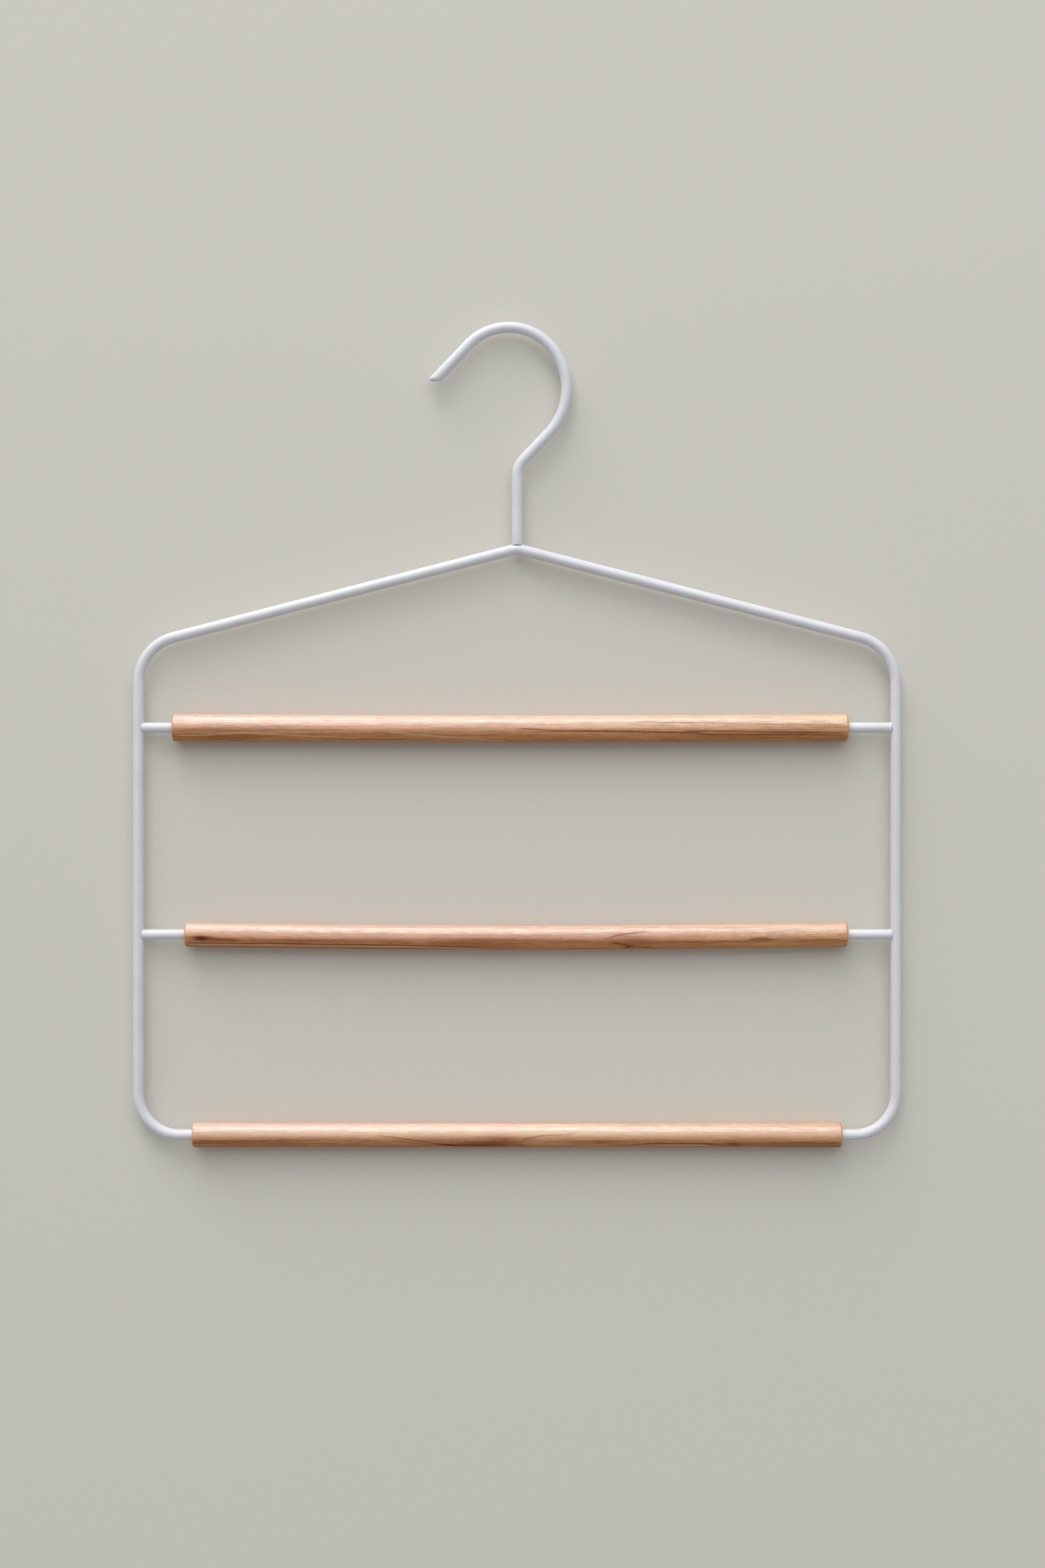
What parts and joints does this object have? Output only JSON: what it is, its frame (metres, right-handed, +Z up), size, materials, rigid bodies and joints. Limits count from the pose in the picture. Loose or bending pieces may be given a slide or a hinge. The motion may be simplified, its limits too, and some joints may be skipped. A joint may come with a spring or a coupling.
{
  "type": "trouser hanger",
  "caption": "Trouser hanger: a coated wire frame with a welded open hook and wooden dowels that turn freely on wire pegs.",
  "frame": {"origin": "the point inside the hook's bow where a wardrobe rail bears", "axes": "+Z up along the shank, +X across the hanger to the right with the hook open to the left, +Y through the hanger away from the viewer"},
  "size_m": [0.353, 0.0124, 0.379],
  "materials": {
    "coated_wire": "satin white powder coat",
    "dowel_wood": "sanded, unlacquered"
  },
  "bodies": {
    "hanger_frame": {"frame_wire": "coated_wire", "hook": "coated_wire", "upper_left_peg": "coated_wire", "upper_right_peg": "coated_wire", "middle_left_peg": "coated_wire", "middle_right_peg": "coated_wire"},
    "upper_dowel": {"upper_dowel": "dowel_wood"},
    "middle_dowel": {"middle_dowel": "dowel_wood"},
    "bottom_dowel": {"bottom_dowel": "dowel_wood"}
  },
  "joints": [
    {"name": "upper_dowel_turn", "type": "hinge", "parent": "hanger_frame", "child": "upper_dowel", "pos_m": [0.00383, 0, -0.18144], "axis": [1, 0, 0], "continuous": true},
    {"name": "middle_dowel_turn", "type": "hinge", "parent": "hanger_frame", "child": "middle_dowel", "pos_m": [0.00383, 0, -0.27644], "axis": [1, 0, 0], "continuous": true},
    {"name": "bottom_dowel_turn", "type": "hinge", "parent": "hanger_frame", "child": "bottom_dowel", "pos_m": [0.00383, 0, -0.36844], "axis": [1, 0, 0], "continuous": true}
  ]
}
